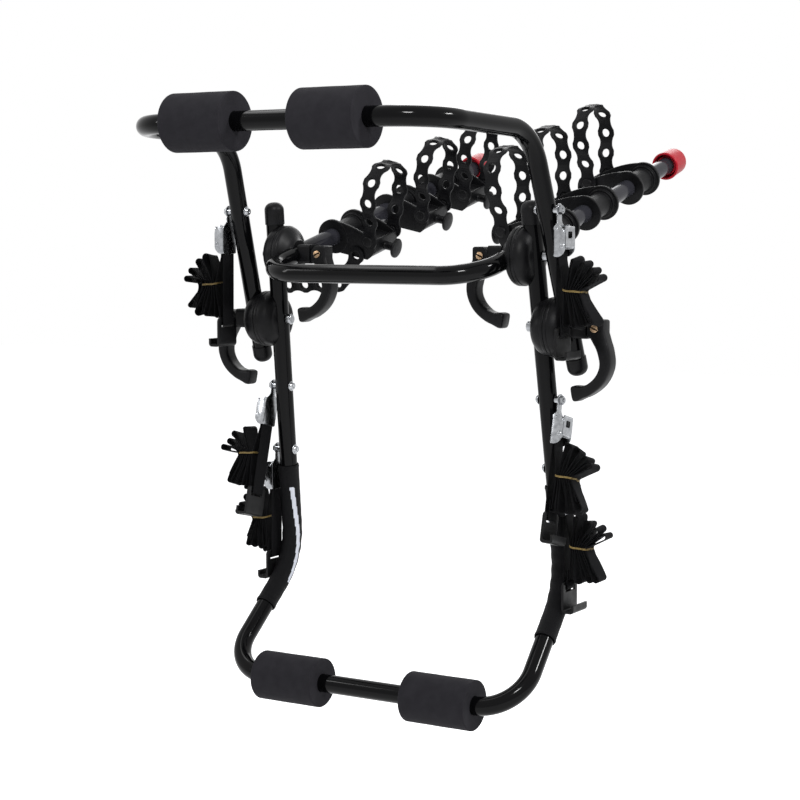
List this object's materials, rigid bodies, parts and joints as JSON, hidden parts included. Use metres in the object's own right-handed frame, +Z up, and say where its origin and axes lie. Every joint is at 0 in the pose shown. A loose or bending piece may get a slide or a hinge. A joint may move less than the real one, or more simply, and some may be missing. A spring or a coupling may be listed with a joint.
{
  "type": "trunk mounted bike rack",
  "caption": "Strap-on rear carrier with padded upper and lower frames, clamped arms with cradles and rubber straps, cam levers, and buckled webbing with hooks.",
  "frame": {"origin": "middle of the lower bar's axis, between its two foam pads, where the rack rests on the car", "axes": "+X across the car, +Y away from the car along the arms, +Z up"},
  "size_m": [0.669, 0.8977, 0.8465],
  "materials": {
    "frame_paint": "gloss black powder coat",
    "arm_paint": "satin black coat on the arms",
    "foam": "matte closed-cell foam",
    "cap_plastic": "matte black cup",
    "red_plastic": "red moulded plastic",
    "sleeve_fabric": "black woven sleeve",
    "hub_plastic": "satin black nylon",
    "zinc": "zinc-plated steel",
    "skewer_steel": "plated steel",
    "lever_plastic": "satin black nylon",
    "cradle_plastic": "black moulded plastic",
    "strap_rubber": "black moulded rubber",
    "webbing": "black woven webbing",
    "hook_coat": "black vinyl dip on steel"
  },
  "bodies": {
    "lower_frame": {"lower_frame_tube": "frame_paint", "lower_pads": "foam", "lower_frame_end_caps": "cap_plastic", "sleeves": "sleeve_fabric", "lower_hub_inner_halves": "hub_plastic", "upper_hub_outer_halves": "hub_plastic", "lower_strap_bolts": "zinc"},
    "upper_frame": {"upper_frame_tube": "frame_paint", "upper_pads": "foam", "upper_frame_end_caps": "cap_plastic", "lower_hub_outer_halves": "hub_plastic", "lower_skewers": "skewer_steel", "lower_lever_blocks": "lever_plastic", "upper_strap_bolts": "zinc"},
    "arms": {"arm_tube": "arm_paint", "arm_end_caps": "red_plastic", "upper_hub_inner_halves": "hub_plastic", "upper_skewers": "skewer_steel", "upper_lever_blocks": "lever_plastic"},
    "lower_lever_right": {"lower_lever_right": "lever_plastic"},
    "lower_lever_left": {"lower_lever_left": "lever_plastic"},
    "upper_lever_right": {"upper_lever_right": "lever_plastic"},
    "upper_lever_left": {"upper_lever_left": "lever_plastic"},
    "cradle_right_first": {"cradle_right_first": "cradle_plastic", "cradle_strap_right_first": "strap_rubber"},
    "cradle_right_second": {"cradle_right_second": "cradle_plastic", "cradle_strap_right_second": "strap_rubber"},
    "cradle_right_third": {"cradle_right_third": "cradle_plastic", "cradle_strap_right_third": "strap_rubber"},
    "cradle_left_first": {"cradle_left_first": "cradle_plastic", "cradle_strap_left_first": "strap_rubber", "sway_strap": "strap_rubber"},
    "cradle_left_second": {"cradle_left_second": "cradle_plastic", "cradle_strap_left_second": "strap_rubber"},
    "cradle_left_third": {"cradle_left_third": "cradle_plastic", "cradle_strap_left_third": "strap_rubber"},
    "upper_strap_right": {"upper_buckle_right": "zinc", "upper_webbing_right": "webbing", "upper_hook_right": "hook_coat"},
    "upper_buckle_cam_right": {"upper_buckle_cam_right": "zinc"},
    "upper_strap_left": {"upper_buckle_left": "zinc", "upper_webbing_left": "webbing", "upper_hook_left": "hook_coat"},
    "upper_buckle_cam_left": {"upper_buckle_cam_left": "zinc"},
    "middle_strap_right": {"middle_buckle_right": "zinc", "middle_webbing_right": "webbing", "middle_hook_right": "hook_coat"},
    "middle_buckle_cam_right": {"middle_buckle_cam_right": "zinc"},
    "middle_strap_left": {"middle_buckle_left": "zinc", "middle_webbing_left": "webbing", "middle_hook_left": "hook_coat"},
    "middle_buckle_cam_left": {"middle_buckle_cam_left": "zinc"},
    "low_strap_right": {"low_buckle_right": "zinc", "low_webbing_right": "webbing", "low_hook_right": "hook_coat"},
    "low_buckle_cam_right": {"low_buckle_cam_right": "zinc"},
    "low_strap_left": {"low_buckle_left": "zinc", "low_webbing_left": "webbing", "low_hook_left": "hook_coat"},
    "low_buckle_cam_left": {"low_buckle_cam_left": "zinc"}
  },
  "joints": [
    {"name": "upper_frame_hinge", "type": "hinge", "parent": "lower_frame", "child": "upper_frame", "pos_m": [0, 0.10448, 0.496], "axis": [1, 0, 0], "range_deg": [-20, 40]},
    {"name": "arms_hinge", "type": "hinge", "parent": "lower_frame", "child": "arms", "pos_m": [0, 0.09137, 0.59], "axis": [1, 0, 0], "range_deg": [-36, 12]},
    {"name": "lower_lever_right_pivot", "type": "hinge", "parent": "upper_frame", "child": "lower_lever_right", "pos_m": [0.2942, 0.10448, 0.496], "axis": [0, -1, 0], "range_deg": [0, 90]},
    {"name": "lower_lever_left_pivot", "type": "hinge", "parent": "upper_frame", "child": "lower_lever_left", "pos_m": [-0.2942, 0.10448, 0.496], "axis": [0, 1, 0], "range_deg": [0, 90]},
    {"name": "upper_lever_right_pivot", "type": "hinge", "parent": "arms", "child": "upper_lever_right", "pos_m": [0.1308, 0.09137, 0.59], "axis": [0, 1, 0], "range_deg": [0, 90]},
    {"name": "upper_lever_left_pivot", "type": "hinge", "parent": "arms", "child": "upper_lever_left", "pos_m": [-0.1308, 0.09137, 0.59], "axis": [0, -1, 0], "range_deg": [0, 90]},
    {"name": "cradle_right_first_turn", "type": "hinge", "parent": "arms", "child": "cradle_right_first", "pos_m": [0.172, 0.21572, 0.62239], "axis": [0, 0.9677, 0.2521], "range_deg": [-18, 18]},
    {"name": "cradle_right_second_turn", "type": "hinge", "parent": "arms", "child": "cradle_right_second", "pos_m": [0.172, 0.34346, 0.65566], "axis": [0, 0.9677, 0.2521], "range_deg": [-18, 18]},
    {"name": "cradle_right_third_turn", "type": "hinge", "parent": "arms", "child": "cradle_right_third", "pos_m": [0.172, 0.48958, 0.69373], "axis": [0, 0.9677, 0.2521], "range_deg": [-18, 18]},
    {"name": "cradle_left_first_turn", "type": "hinge", "parent": "arms", "child": "cradle_left_first", "pos_m": [-0.172, 0.21475, 0.62214], "axis": [0, 0.9677, 0.2521], "range_deg": [-18, 18]},
    {"name": "cradle_left_second_turn", "type": "hinge", "parent": "arms", "child": "cradle_left_second", "pos_m": [-0.172, 0.36475, 0.66121], "axis": [0, 0.9677, 0.2521], "range_deg": [-18, 18]},
    {"name": "cradle_left_third_turn", "type": "hinge", "parent": "arms", "child": "cradle_left_third", "pos_m": [-0.172, 0.49442, 0.69499], "axis": [0, 0.9677, 0.2521], "range_deg": [-18, 18]},
    {"name": "upper_strap_right_swivel", "type": "hinge", "parent": "upper_frame", "child": "upper_strap_right", "pos_m": [0.24457, 0.05186, 0.65], "axis": [1, 0, 0], "range_deg": [-40, 5]},
    {"name": "upper_buckle_cam_right_lever", "type": "hinge", "parent": "upper_strap_right", "child": "upper_buckle_cam_right", "pos_m": [0.27397, 0.05186, 0.604], "axis": [0, 1, 0], "range_deg": [0, 70]},
    {"name": "upper_strap_left_swivel", "type": "hinge", "parent": "upper_frame", "child": "upper_strap_left", "pos_m": [-0.24457, 0.05186, 0.65], "axis": [1, 0, 0], "range_deg": [-40, 5]},
    {"name": "upper_buckle_cam_left_lever", "type": "hinge", "parent": "upper_strap_left", "child": "upper_buckle_cam_left", "pos_m": [-0.27397, 0.05186, 0.604], "axis": [0, -1, 0], "range_deg": [0, 70]},
    {"name": "middle_strap_right_swivel", "type": "hinge", "parent": "lower_frame", "child": "middle_strap_right", "pos_m": [0.21491, 0.11815, 0.398], "axis": [1, 0, 0], "range_deg": [-35, 0]},
    {"name": "middle_buckle_cam_right_lever", "type": "hinge", "parent": "middle_strap_right", "child": "middle_buckle_cam_right", "pos_m": [0.24431, 0.10702, 0.35337], "axis": [0, 0.9703, -0.2419], "range_deg": [0, 70]},
    {"name": "middle_strap_left_swivel", "type": "hinge", "parent": "lower_frame", "child": "middle_strap_left", "pos_m": [-0.21491, 0.11815, 0.398], "axis": [1, 0, 0], "range_deg": [-35, 0]},
    {"name": "middle_buckle_cam_left_lever", "type": "hinge", "parent": "middle_strap_left", "child": "middle_buckle_cam_left", "pos_m": [-0.24431, 0.10702, 0.35337], "axis": [0, -0.9703, 0.2419], "range_deg": [0, 70]},
    {"name": "low_strap_right_swivel", "type": "hinge", "parent": "lower_frame", "child": "low_strap_right", "pos_m": [0.21824, 0.13126, 0.304], "axis": [1, 0, 0], "range_deg": [0, 35]},
    {"name": "low_buckle_cam_right_lever", "type": "hinge", "parent": "low_strap_right", "child": "low_buckle_cam_right", "pos_m": [0.24764, 0.13126, 0.258], "axis": [0, 1, 0], "range_deg": [0, 70]},
    {"name": "low_strap_left_swivel", "type": "hinge", "parent": "lower_frame", "child": "low_strap_left", "pos_m": [-0.21824, 0.13126, 0.304], "axis": [1, 0, 0], "range_deg": [0, 35]},
    {"name": "low_buckle_cam_left_lever", "type": "hinge", "parent": "low_strap_left", "child": "low_buckle_cam_left", "pos_m": [-0.24764, 0.13126, 0.258], "axis": [0, -1, 0], "range_deg": [0, 70]}
  ]
}
